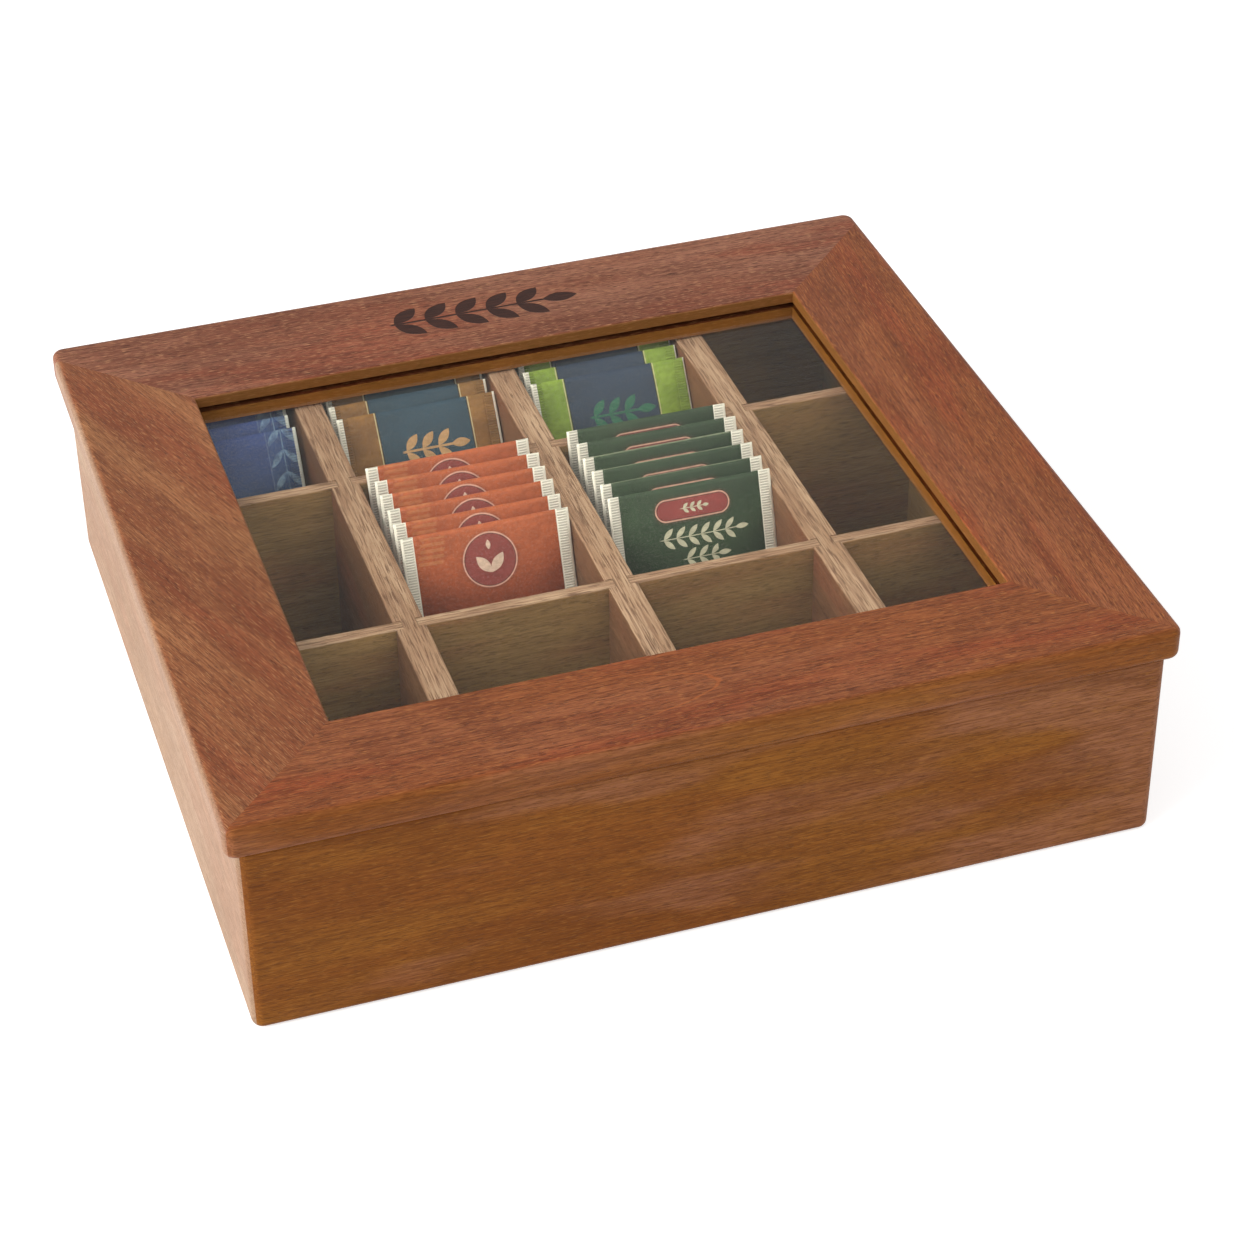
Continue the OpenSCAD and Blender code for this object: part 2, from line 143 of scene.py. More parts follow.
class Surface:
    """A material with one Principled shader, and short calls for the nodes behind it."""

    def __init__(self, name):
        self.material = bpy.data.materials.new(name)
        self.material.use_nodes = True
        self.tree = self.material.node_tree
        self.shader = self.tree.nodes["Principled BSDF"]

    def node(self, kind, output, **inputs):
        node = self.tree.nodes.new(kind)
        for name, value in inputs.items():
            feed(self.tree, node.inputs[name.replace("_", " ")], value)
        return Field(self.tree, node.outputs[output])

    def place(self):
        """X, Y and Z on the object, in millimetres."""
        point = self.node("ShaderNodeTexCoord", "Object")
        parts = self.tree.nodes.new("ShaderNodeSeparateXYZ")
        feed(self.tree, parts.inputs[0], point)
        return [Field(self.tree, output) * (1.0 / MM) for output in parts.outputs]

    def sheet_place(self):
        """The two coordinates of the mesh's own sheet, in millimetres."""
        node = self.tree.nodes.new("ShaderNodeUVMap")
        node.uv_map = SHEET_MAP
        parts = self.tree.nodes.new("ShaderNodeSeparateXYZ")
        self.tree.links.new(node.outputs["UV"], parts.inputs[0])
        return [Field(self.tree, output) for output in parts.outputs[:2]]

    def vector(self, x, y, z):
        return self.node("ShaderNodeCombineXYZ", "Vector", X=x, Y=y, Z=z)

    def noise(self, vector, size=(1.0, 1.0, 1.0), detail=2.0, roughness=0.5, output="Fac"):
        """Noise with features of the given size in millimetres along each axis."""
        mapping = self.tree.nodes.new("ShaderNodeMapping")
        feed(self.tree, mapping.inputs["Vector"], vector)
        mapping.inputs["Scale"].default_value = [1.0 / length for length in size]
        return self.node(
            "ShaderNodeTexNoise", output, Vector=Field(self.tree, mapping.outputs[0]),
            Scale=1.0, Detail=detail, Roughness=roughness,
        )

    def mix(self, share, first, second, blend="MIX"):
        """The first colour, with the second over it by a share."""
        node = self.tree.nodes.new("ShaderNodeMix")
        node.data_type = "RGBA"
        node.blend_type = blend
        feed(self.tree, node.inputs["Factor"], share)
        feed(self.tree, node.inputs[6], first)
        feed(self.tree, node.inputs[7], second)
        return Field(self.tree, node.outputs[2])

    def bump(self, height, depth):
        """Relief of the given depth in millimetres from a height between 0 and 1."""
        normal = self.node(
            "ShaderNodeBump", "Normal", Strength=1.0, Distance=depth * MM, Height=height)
        feed(self.tree, self.shader.inputs["Normal"], normal)

    def set(self, name, value):
        feed(self.tree, self.shader.inputs[name], value)


# ---- Wood ----

# How far apart in the tree two boards with neighbouring seeds are cut: along, across, up.
SEED_STEP = Vector((377.0, 61.0, 23.0))
# Growth rings: their width, how far they wander, and how much they change along the board.
RING_WIDTH = 4.2
RING_WARP = 34.0
RING_WARP_SIZE = (150.0, 60.0, 60.0)
RING_WAVER = 1.6
RING_WAVER_SIZE = (24.0, 7.0, 7.0)
RING_STRETCH = 0.004
# The stain's layers, as the size of their features along, across and up.
PATCH_SIZE = (120.0, 24.0, 24.0)
CLOUD_SIZE = (95.0, 19.0, 19.0)
LINE_SIZE = (38.0, 1.0, 1.0)
FIBRE_SIZE = (9.0, 0.42, 0.42)
STREAK_LENGTH = 4.0
# How much darker a pore is than the darkest wood round it.
PORE_SHADE = 0.55
# The finish: how much its roughness spreads, and its refraction.
ROUGH_SPREAD = 0.18
FINISH_IOR = 1.45


class Wood(Surface):
    """A board cut from its own piece of a tree, with the grain along one axis of the object."""

    def __init__(self, name, run, seed, slant=0.0, drift=0.0):
        super().__init__(name)
        self.x, self.y, self.z = self.place()
        self.drift = drift
        along, across = (self.x, self.y) if run == "X" else (self.y, self.x)
        self.across = across + along * slant
        self.along = along + seed * SEED_STEP.x
        self.grain = self.vector(
            self.along, self.across + seed * SEED_STEP.y, self.z + seed * SEED_STEP.z)

    def rings(self, pith):
        """Growth rings round a pith beside and below the board, as light and dark bands."""
        warp = self.noise(self.grain, RING_WARP_SIZE, 3.0) - 0.5
        waver = self.noise(self.grain, RING_WAVER_SIZE, 2.0) - 0.5
        aside = self.across - pith[0]
        below = self.z + pith[1]
        radius = (aside * aside + below * below).math("SQRT")
        radius = radius + warp * RING_WARP + waver * RING_WAVER
        section = self.vector(radius, self.along * RING_STRETCH, 0.0)
        return self.noise(section, (RING_WIDTH, 1.0, 1.0), 3.0, 0.6)

    def streaks(self, length, width, low, high):
        """Short dashes along the grain, where their noise rises from low to high."""
        return self.noise(self.grain, (length, width, width), 1.0, 0.5).rise(low, high)

    def polish(self, colour, pores, fibre, rough, gloss, depth, relief=None):
        """The finish over the wood's colour, and its relief: that of its pores, or one given."""
        self.set("Base Color", colour)
        self.set("Roughness", fibre * ROUGH_SPREAD + (rough - ROUGH_SPREAD / 2.0))
        self.shader.inputs["IOR"].default_value = FINISH_IOR
        self.shader.inputs["Specular IOR Level"].default_value = gloss
        if relief is None:
            relief = (pores * -0.8) + fibre * 0.4 + 0.6
        self.bump(relief, depth)
        return self.material


def stained(wood, tone, pith, grain=0.55):
    """Open-pored hardwood under a brown stain: tone holds its dark, middle, light, red and gold.

    Each layer lies over the ones before it, by a share of where its noise rises."""
    dark, middle, light, red, gold = tone
    rings = wood.rings(pith)
    patch = wood.noise(wood.grain, PATCH_SIZE, 2.0, 0.5)
    blush = wood.noise(wood.grain, CLOUD_SIZE, 2.0, 0.5, "Color")
    cloud = wood.node("ShaderNodeSeparateColor", "Green", Color=blush) + wood.x * wood.drift
    lines = wood.noise(wood.grain, LINE_SIZE, 4.0, 0.65)
    fibre = wood.noise(wood.grain, FIBRE_SIZE, 2.0, 0.6)
    dashes = wood.streaks(STREAK_LENGTH, width=0.32, low=0.56, high=0.70)
    pores = wood.streaks(STREAK_LENGTH, width=0.36, low=0.58, high=0.68)
    colour = wood.mix(patch.rise(0.38, 0.66), middle, light)
    colour = wood.mix(cloud.rise(0.46, 0.66) * 0.80, colour, red)
    colour = wood.mix(rings.rise(0.60, 0.34) * 0.40, colour, dark)
    colour = wood.mix(lines.rise(0.42, 0.66) * (0.32 + grain * 0.34), colour, dark)
    colour = wood.mix(fibre.rise(0.36, 0.70) * 0.50, colour, dark)
    colour = wood.mix(dashes * (grain * 0.75), colour, gold)
    pore = tuple(value * PORE_SHADE for value in dark[:3]) + (1.0,)
    return wood.mix(pores * grain, colour, pore), pores, fibre


def raw(wood):
    """Unstained wood where a board's edge was sawn and sanded: pale, with long dark pores."""
    fibre = wood.noise(wood.grain, (26.0, 0.8, 0.8), 3.0, 0.6)
    patch = wood.noise(wood.grain, (60.0, 6.0, 6.0), 2.0)
    pores = wood.streaks(length=9.0, width=0.42, low=0.54, high=0.63)
    colour = wood.mix(patch.rise(0.35, 0.70), srgb(165, 131, 109), srgb(193, 162, 140))
    colour = wood.mix(fibre.rise(0.38, 0.66) * 0.70, colour, srgb(132, 96, 78))
    return wood.mix(pores * 0.80, colour, srgb(102, 70, 54))


def tone(dark, middle, light, red, gold):
    """The five colours of one stain, given in 8-bit sRGB."""
    return tuple(srgb(*colour) for colour in (dark, middle, light, red, gold))


LID_TONE = tone((92, 46, 30), (154, 94, 68), (170, 114, 88), (156, 82, 56), (208, 152, 108))
LEFT_TONE = tone((98, 50, 28), (156, 92, 58), (185, 126, 82), (148, 78, 49), (208, 152, 102))
RAIL_TONE = tone((94, 44, 22), (158, 90, 50), (164, 98, 62), (162, 80, 46), (202, 134, 76))
CASE_TONE = tone((102, 54, 18), (142, 82, 30), (156, 98, 36), (166, 110, 79), (180, 122, 54))
# Painted light: the left faces of the case and lid are painted paler and less red, as the light
# and sheen from that side make them look. The wood is the same as on the other sides.
PAINTED_LEFT_LIGHT_TONE = tone(
    (134, 101, 76), (170, 137, 108), (184, 153, 126), (172, 131, 104), (202, 168, 140))
INSIDE_TONE = tone((128, 98, 60), (158, 123, 79), (168, 134, 88), (164, 112, 77), (180, 145, 97))
DIVIDER_TONE = tone((100, 66, 45), (128, 87, 62), (136, 96, 69), (138, 78, 56), (150, 108, 78))
PANEL_TONE = tone((108, 74, 44), (146, 106, 66), (158, 120, 76), (152, 98, 66), (176, 136, 90))


def rail_colour(wood, tones, pith, grain=0.55):
    """Lid wood: stained on its faces, lighter and more yellow inside the window."""
    colour, pores, fibre = stained(wood, tones, pith, grain)
    inside = (abs(wood.x).rise(WINDOW_HALF + 0.5, WINDOW_HALF)
              * abs(wood.y - WINDOW_MID).rise(WINDOW_REACH + 0.5, WINDOW_REACH))
    return wood.mix(inside * 0.75, colour, srgb(134, 90, 42)), pores, fibre


ARCH_X = 7.0
ARCH_Y = -131.0
ARCH_CURVE = 0.20


def front_rail_wood():
    """The front rail, whose front edge is painted in the darker colour of the case: painted shade,
    as less light falls on that face than on the top.
    """
    wood = Wood("front_rail_wood", "X", 1)
    colour, pores, fibre = rail_colour(wood, RAIL_TONE, (-118.0, 64.0))
    arch = arch_lines(wood)
    colour = wood.mix(arch * 0.55, colour, srgb(182, 100, 52))
    # Painted shade: the rail's front face takes the front wall's darker stain.
    edge, _, _ = stained(wood, CASE_TONE, (-118.0, 64.0), 0.25)
    colour = wood.mix((wood.y - LID_LOW.y).rise(2.6, 0.6) * 0.85, colour, edge)
    return wood.polish(colour, pores, fibre, rough=0.44, gloss=0.14, depth=0.10)


def arch_lines(wood):
    """The tip of a growth ring that the rail's face cuts: a thin arch open to the left."""
    waver = (wood.noise(wood.grain, (9.0, 3.0, 3.0), 2.0) - 0.5) * 5.0
    offset = wood.y - ARCH_Y
    distance = wood.x + offset * offset * ARCH_CURVE + waver - ARCH_X
    line = abs(distance).rise(1.3, 0.3)
    fade = wood.x.rise(ARCH_X - 50.0, ARCH_X - 20.0) * wood.y.rise(ARCH_Y + 16.0, ARCH_Y + 10.0)
    return line * fade * wood.z.rise(87.0, 88.0)


SPRIG_X = -5.0
SPRIG_Y = 129.0
SPRIG_DEPTH = 0.35


def back_rail_wood():
    """The back rail, with a sprig burned into its face."""
    wood = Wood("back_rail_wood", "X", 2, 0.03)
    colour, pores, fibre = rail_colour(wood, LID_TONE, (150.0, 90.0), 0.80)
    mark = burned_sprig(wood)
    scorched = wood.mix(fibre.rise(0.3, 0.7), srgb(64, 30, 17), srgb(40, 18, 10))
    colour = wood.mix(mark, colour, scorched)
    sunk = (mark * -1.0) + fibre * 0.2 + 1.0
    return wood.polish(
        colour, pores, fibre, rough=0.46, gloss=0.14, depth=SPRIG_DEPTH, relief=sunk)


def burned_sprig(wood):
    """A leafy sprig burned into the middle of the rail's face."""
    face = wood.z.rise(87.6, 88.2)
    u = wood.x - SPRIG_X
    v = wood.y - SPRIG_Y
    mark = sprig(u, v, reach=31.5, pitch=12.6, length=14.4, width=6.6, degrees=42.0, stem=1.1)
    return mark * face


def leaf(along, aside, length, width):
    """1 inside a pointed leaf that lies round the origin."""
    reach = (along * along) * (-4.0 / (length * length)) + 1.0
    return (reach * (width / 2.0) - abs(aside)).rise(-0.12, 0.12)


def turned(u, v, degrees):
    """A place on a surface, measured in axes that are turned by an angle."""
    cosine = math.cos(math.radians(degrees))
    sine = math.sin(math.radians(degrees))
    return u * cosine + v * sine, v * cosine - u * sine


def sprig(u, v, reach, pitch, length, width, degrees, stem):
    """Pairs of leaves along a stem in the direction of u, with one more leaf at its end."""
    cell = (u + (reach + 20.0 * pitch)).math("FLOORED_MODULO", pitch) - pitch * 0.5
    rise = length * 0.5 * math.sin(math.radians(degrees)) + stem * 0.4
    along, aside = turned(cell, abs(v) - rise, degrees)
    pair = leaf(along, aside, length, width)
    inside = abs(u).rise(reach + 0.1, reach - 0.1)
    tip = leaf(u - (reach + length * 0.42), v, length, width)
    rod = abs(v).rise(stem * 0.5 + 0.1, stem * 0.5 - 0.1) * abs(u).rise(reach + 1.5, reach)
    return (pair * inside).most(tip).most(rod)


def stile_wood(name, seed, slant, tones, pith):
    """A stile of the lid's frame. Along the lid's left outer face it is painted pale like the
    case's left wall: painted light from the lamp and sheen on that side.
    """
    wood = Wood(name, "Y", seed, slant)
    colour, pores, fibre = rail_colour(wood, tones, pith)
    # Painted light: the lid's left outer face is painted in the case's pale left tone.
    edge, _, _ = stained(wood, PAINTED_LEFT_LIGHT_TONE, pith, 0.3)
    colour = wood.mix((wood.x - LID_LOW.x).rise(2.0, 0.6) * 0.80, colour, edge)
    return wood.polish(colour, pores, fibre, rough=0.44, gloss=0.14, depth=0.10)


def wall_wood(name, run, seed, tones, inner_side, drift=0.0):
    """Case wall: stained outside, and the dividers' olive brown inside."""
    wood = Wood(name, run, seed, 0.02, drift)
    colour, pores, fibre = stained(wood, tones, (60.0, -20.0), 0.42)
    within, _, _ = stained(wood, INSIDE_TONE, (40.0, 60.0))
    colour = wood.mix(inner_side(wood), colour, within)
    return wood.polish(colour, pores, fibre, rough=0.48, gloss=0.12, depth=0.08)


def divider_wood(name, run, seed):
    """Thin boards that are stained on their sides and left raw along their tops."""
    wood = Wood(name, run, seed)
    colour, pores, fibre = stained(wood, DIVIDER_TONE if run == "Y" else INSIDE_TONE, (20.0, 70.0))
    wobble = (wood.noise(wood.grain, (14.0, 3.0, 3.0), 2.0) - 0.5) * 0.6
    top = (wood.z + wobble).rise(DIVIDER_TOP - 0.7, DIVIDER_TOP - 0.3)
    colour = wood.mix(top, colour, raw(wood))
    return wood.polish(colour, pores, fibre, rough=0.60, gloss=0.15, depth=0.14)


def panel_wood(name, run, seed):
    """The bottom of the compartments."""
    wood = Wood(name, run, seed)
    colour, pores, fibre = stained(wood, PANEL_TONE, (20.0, 70.0))
    return wood.polish(colour, pores, fibre, rough=0.60, gloss=0.15, depth=0.10)


def dress(node, material):
    """Gives a CAD node one material."""
    slots = NODES[node].data.materials
    slots.clear()
    slots.append(material)


def in_mm(node):
    """Lowest and highest corner of a CAD node, in millimetres."""
    return [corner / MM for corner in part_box(node)]


DIVIDER_TOP = in_mm("long_divider_left")[1].z
PANE_LOW, PANE_HIGH = in_mm("window_pane")
# How far the lid's frame reaches over the pane.
PANE_GRIP = 5.2
WINDOW_HALF = PANE_HIGH.x - PANE_GRIP
WINDOW_MID = (PANE_LOW.y + PANE_HIGH.y) / 2.0
WINDOW_REACH = (PANE_HIGH.y - PANE_LOW.y) / 2.0 - PANE_GRIP
LID_LOW = Vector((in_mm("lid_left_stile")[0].x, in_mm("lid_front_rail")[0].y, 0.0))
CASE_LOW = Vector((in_mm("left_wall")[0].x, in_mm("front_wall")[0].y, 0.0))
CASE_HIGH = Vector((in_mm("right_wall")[1].x, in_mm("back_wall")[1].y, 0.0))
# Beyond this depth below its outer face a wall has the colour of the inside.
SKIN = 12.0


def inward(axis, face, way):
    """The inner side of a wall whose outer face lies at a place on an axis."""
    return lambda wood: (getattr(wood, axis) - face).rise(way * SKIN, way * (SKIN + 0.5))


dress("lid_front_rail", front_rail_wood())
dress("lid_back_rail", back_rail_wood())
dress("lid_left_stile", stile_wood("left_stile_wood", 3, 0.36, LEFT_TONE, (-150.0, 80.0)))
dress("lid_right_stile", stile_wood("right_stile_wood", 4, -0.03, RAIL_TONE, (170.0, 90.0)))
dress("front_wall", wall_wood(
    "front_wall_wood", "X", 5, CASE_TONE, inward("y", CASE_LOW.y, 1.0), drift=0.0010))
dress("back_wall", wall_wood(
    "back_wall_wood", "X", 6, CASE_TONE, inward("y", CASE_HIGH.y, -1.0)))
# The left wall takes the paler tone: painted light from the lamp and sheen on that side.
dress("left_wall", wall_wood(
    "left_wall_wood", "Y", 7, PAINTED_LEFT_LIGHT_TONE, inward("x", CASE_LOW.x, 1.0)))
dress("right_wall", wall_wood(
    "right_wall_wood", "Y", 8, CASE_TONE, inward("x", CASE_HIGH.x, -1.0)))
dress("bottom_panel", panel_wood("bottom_wood", "X", 9))
for number, node in enumerate(sorted(name for name in NODES if "divider" in name)):
    run = "Y" if node.startswith("long") else "X"
    dress(node, divider_wood(node + "_wood", run, 10 + number))


# ---- Brass and the pane ----

def brass():
    """Brushed brass, a little tarnished."""
    surface = Surface("brushed_brass")
    point = surface.vector(*surface.place())
    brushed = surface.noise(point, (9.0, 0.14, 0.14), 2.0)
    tarnish = surface.noise(point, (9.0, 9.0, 9.0), 4.0, 0.6).rise(0.42, 0.72)
    surface.set("Base Color", surface.mix(tarnish * 0.6, srgb(206, 168, 96), srgb(148, 106, 54)))
    surface.set("Metallic", 1.0)
    surface.set("Roughness", tarnish * 0.18 + brushed * 0.12 + 0.24)
    surface.bump(brushed, 0.02)
    return surface.material


def window_pane():
    """Clear pane with a slight olive tint, which lets the lamps' light through."""
    surface = Surface("pane_clear")
    point = surface.vector(*surface.place())
    cloud = surface.noise(point, (60.0, 45.0, 45.0), 2.0)
    surface.set("Base Color", surface.mix(cloud, srgb(240, 239, 226), srgb(247, 246, 236)))
    surface.set("Transmission Weight", 1.0)
    surface.shader.inputs["IOR"].default_value = 1.16
    surface.set("Roughness", 0.0)
    clear = surface.tree.nodes.new("ShaderNodeBsdfTransparent")
    clear.inputs["Color"].default_value = srgb(248, 247, 240)
    light_path = surface.tree.nodes.new("ShaderNodeLightPath")
    both = surface.tree.nodes.new("ShaderNodeMixShader")
    output = surface.tree.nodes["Material Output"]
    surface.tree.links.new(light_path.outputs["Is Shadow Ray"], both.inputs["Fac"])
    surface.tree.links.new(surface.shader.outputs["BSDF"], both.inputs[1])
    surface.tree.links.new(clear.outputs["BSDF"], both.inputs[2])
    surface.tree.links.new(both.outputs["Shader"], output.inputs["Surface"])
    return surface.material


brass_metal = brass()
for node in NODES:
    if "hinge" in node:
        dress(node, brass_metal)
dress("window_pane", window_pane())


def islands(node):
    """Vertex positions of a CAD node, one list for each of its solids."""
    mesh = bmesh.new()
    mesh.from_mesh(NODES[node].data)
    bmesh.ops.remove_doubles(mesh, verts=mesh.verts, dist=1e-6)
    waiting = set(mesh.verts)
    groups = []
    while waiting:
        heap = [waiting.pop()]
        group = []
        while heap:
            vertex = heap.pop()
            group.append(vertex.co.copy())
            near = {edge.other_vert(vertex) for edge in vertex.link_edges} & waiting
            waiting -= near
            heap.extend(near)
        groups.append(sorted(group, key=tuple))
    mesh.free()
    return sorted(groups, key=lambda group: tuple(group[0]))


# ---- Screws ----

SCREW_SIDES = 40
RIM_BEVEL = 0.12 * MM
CROSS_REACH = 0.60
CROSS_HALF = 0.15
CROSS_DEPTH = 0.75 * MM
CROSS_TAPER = 0.6
# The screw's point: its length and its end's radius, in shank radii.
POINT_LENGTH = 2.0
POINT_END = 0.2
SAME_LEVEL = 1e-6


def add_ring(mesh, middle, radius, height):
    """A level ring of vertices round a point."""
    angles = [2.0 * math.pi * step / SCREW_SIDES for step in range(SCREW_SIDES)]
    return [mesh.verts.new((
        middle.x + radius * math.cos(angle), middle.y + radius * math.sin(angle), height,
    )) for angle in angles]


def add_cross(mesh, middle, radius, share, height, turn):
    """The twelve corners of a cross recess in a screw's head."""
    reach = radius * CROSS_REACH * share
    half = radius * CROSS_HALF * share
    corners = []
    for quarter in range(4):
        spin = Matrix.Rotation(turn + quarter * math.pi / 2.0, 2)
        for corner in ((reach, -half), (reach, half), (half, half)):
            spot = spin @ Vector(corner)
            corners.append(mesh.verts.new((middle.x + spot.x, middle.y + spot.y, height)))
    return corners


def join(mesh, first, second):
    """A band of faces between two rings."""
    for step, vertex in enumerate(first):
        after = (step + 1) % len(first)
        mesh.faces.new((vertex, first[after], second[after], second[step]))


def add_screw(mesh, points, turn):
    """A countersunk screw with a cross recess, in the space of its CAD solid."""
    low = min(point.z for point in points)
    high = max(point.z for point in points)
    middle = sum(points, Vector()) / len(points)

    def radius_at(height):
        level = [point for point in points if abs(point.z - height) < SAME_LEVEL]
        return max((point - middle).xy.length for point in level)

    head, end = (high, low) if radius_at(high) > radius_at(low) else (low, high)
    way = 1.0 if end > head else -1.0
    head_radius = radius_at(head)
    shank_radius = radius_at(end)
    face_rim = add_ring(mesh, middle, head_radius - RIM_BEVEL, head)
    rim = add_ring(mesh, middle, head_radius, head + way * RIM_BEVEL * 0.5)
    neck = add_ring(mesh, middle, shank_radius, head + way * (head_radius - shank_radius))
    point_start = add_ring(mesh, middle, shank_radius, end - way * shank_radius * POINT_LENGTH)
    point_end = add_ring(mesh, middle, shank_radius * POINT_END, end)
    rings = [face_rim, rim, neck, point_start, point_end]
    for first, second in zip(rings, rings[1:]):
        join(mesh, first, second)
    mesh.faces.new(point_end)
    mouth = add_cross(mesh, middle, head_radius, 1.0, head, turn)
    floor = add_cross(mesh, middle, head_radius, CROSS_TAPER, head + way * CROSS_DEPTH, turn)
    join(mesh, mouth, floor)
    mesh.faces.new(floor)
    loops = [face_rim, mouth]
    edges = [mesh.edges.get(pair) for loop in loops for pair in zip(loop, loop[1:] + loop[:1])]
    bmesh.ops.triangle_fill(mesh, use_beauty=True, use_dissolve=False, edges=edges)


def add_screws(node, body):
    """The screws of one pair of hinge leaves, each turned its own way."""
    dice = random.Random(node)
    data = bpy.data.meshes.new(node + "_turned")
    mesh = bmesh.new()
    for points in sorted(islands(node), key=lambda points: points[0].x):
        add_screw(mesh, points, dice.uniform(0.0, math.pi / 2.0))
    bmesh.ops.recalc_face_normals(mesh, faces=mesh.faces)
    mesh.to_mesh(data)
    mesh.free()
    data.materials.append(brass_metal)
    piece = bpy.data.objects.new(node + "_cross", data)
    bpy.context.scene.collection.objects.link(piece)
    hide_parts(node)
    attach(piece, body)


add_screws("case_leaf_screws", "case")
add_screws("lid_leaf_screws", "lid")


# ---- Sachets: their shape ----

SHEET_MAP = "sheet"
# Width of a flat seam, half its thickness, how much the crimp presses it, and half the belly's.
CRIMP = 5.0
CRIMP_HALF = 0.35
CRIMP_PRESS = 0.7
BELLY = 3.5
# How blunt the belly's outline is across and up, and how soon it fills.
BLUNT_ACROSS = 2.4
BLUNT_UP = 2.2
FULL_ACROSS = 0.8
FULL_UP = 0.9
# Folds in the paper: their depth, how far they reach in from a seam, and where they fade out.
PUCKER = 0.10
PUCKER_REACH = 9.0
PUCKER_HALF = 1.2
# How far a seam waves, and how far it lies back, at its outer edge.
CURL_WAVE = 0.30
CURL_BACK = 0.15
# Cells of the mesh across a seam, across the belly, and from foot to top.
SEAM_STEPS = 5
BELLY_STEPS = 30
ROW_STEPS = 44
# How far a sachet may be turned, in degrees, and moved, in millimetres.
ASKEW = 0.45
SHIFT = 0.45
LIFT_LEAST = 0.30
LIFT_MORE = 0.35
# How far apart the folds of two sachets may start.
FOLD_PHASE = 40.0
# Corners whose X is this close, in metres, are at the same end of a sachet.
SAME_END = 1e-5


class Place:
    """Where one sachet leans: the middle of its foot, its two directions and its size in mm."""

    def __init__(self, points):
        right = max(point.x for point in points)
        left = min(point.x for point in points)
        end = [point for point in points if point.x > right - SAME_END]
        end.sort(key=lambda point: point.z)
        foot = (end[0] + end[1]) / 2.0
        top = (end[-1] + end[-2]) / 2.0
        foot.x = top.x = (left + right) / 2.0
        self.foot = foot
        self.side = Vector((1.0, 0.0, 0.0))
        self.up = (top - foot).normalized()
        self.out = self.up.cross(self.side).normalized()
        self.height = (top - foot).length / MM
        self.width = (right - left) / MM

    def disturb(self, dice):
        """Puts the sachet a little askew in its own plane."""
        angle = math.radians(dice.uniform(-ASKEW, ASKEW))
        shift = dice.uniform(-SHIFT, SHIFT)
        lift = LIFT_LEAST + dice.uniform(0.0, LIFT_MORE)
        self.foot = self.foot + self.side * (shift * MM) + self.up * (lift * MM)
        turn = Matrix.Rotation(angle, 3, self.out)
        self.side = turn @ self.side
        self.up = turn @ self.up

    def at(self, across, height, out):
        return self.foot + (self.side * across + self.up * height + self.out * out) * MM


def spread(count):
    """Even steps from 0 to 1."""
    return [step / count for step in range(count + 1)]


def columns_of(width):
    """Positions across a sachet: close together over the seams, and even over the belly."""
    half = width / 2.0
    seam = [-half + CRIMP * share for share in spread(SEAM_STEPS)]
    belly = [(-half + CRIMP) + (width - 2.0 * CRIMP) * share for share in spread(BELLY_STEPS)]
    return seam + belly[1:-1] + [-value for value in reversed(seam)]


def half_thickness(across, height, place):
    """Half the thickness of a sachet at a place on it."""
    inner = place.width / 2.0 - CRIMP
    reach = max(0.0, 1.0 - (abs(across) / inner) ** BLUNT_ACROSS)
    rise = max(0.0, 1.0 - abs(2.0 * height / place.height - 1.0) ** BLUNT_UP)
    crown = (BELLY - CRIMP_HALF) * (reach ** FULL_ACROSS) * (rise ** FULL_UP)
    return CRIMP_HALF * CRIMP_PRESS + crown


def pucker(across, height, phase, place):
    """Small folds of the paper, deepest beside the seams, in millimetres."""
    inner = place.width / 2.0 - CRIMP
    edge = max(0.0, 1.0 - (inner - abs(across)) / PUCKER_REACH) if abs(across) < inner else 0.0
    slow = math.sin(across * 0.13 + phase * 1.7) * math.sin(height * 0.11 + phase * 2.3)
    quick = math.sin(height * 0.75 + phase * 3.1 + math.sin(height * 0.31) * 1.5)
    return PUCKER * slow + PUCKER * edge * quick


def curl(across, height, phase, place):
    """How the flat seams wave and lift away from the stack's plane, in millimetres."""
    inner = place.width / 2.0 - CRIMP
    edge = max(0.0, abs(across) - inner) / CRIMP
    wave = math.sin(height * 0.16 + phase * 2.0 + (1.3 if across > 0.0 else 0.0))
    return edge * (CURL_WAVE * wave - CURL_BACK)


def skin(mesh, place, phase, side, columns, rows):
    """One of the two papers of a sachet, as a grid of vertices."""
    grid = []
    for height in rows:
        line = []
        for across in columns:
            half = half_thickness(across, height, place)
            fold = pucker(across, height, phase + side, place) * min(1.0, half / PUCKER_HALF)
            out = side * half + fold + curl(across, height, phase, place)
            line.append(mesh.verts.new(place.at(across, height, out)))
        grid.append(line)
    return grid


def face(mesh, sheet, corners, places):
    """A face whose corners lie at the given places of the print."""
    made = mesh.faces.new(corners)
    for loop, spot in zip(made.loops, places):
        loop[sheet].uv = spot


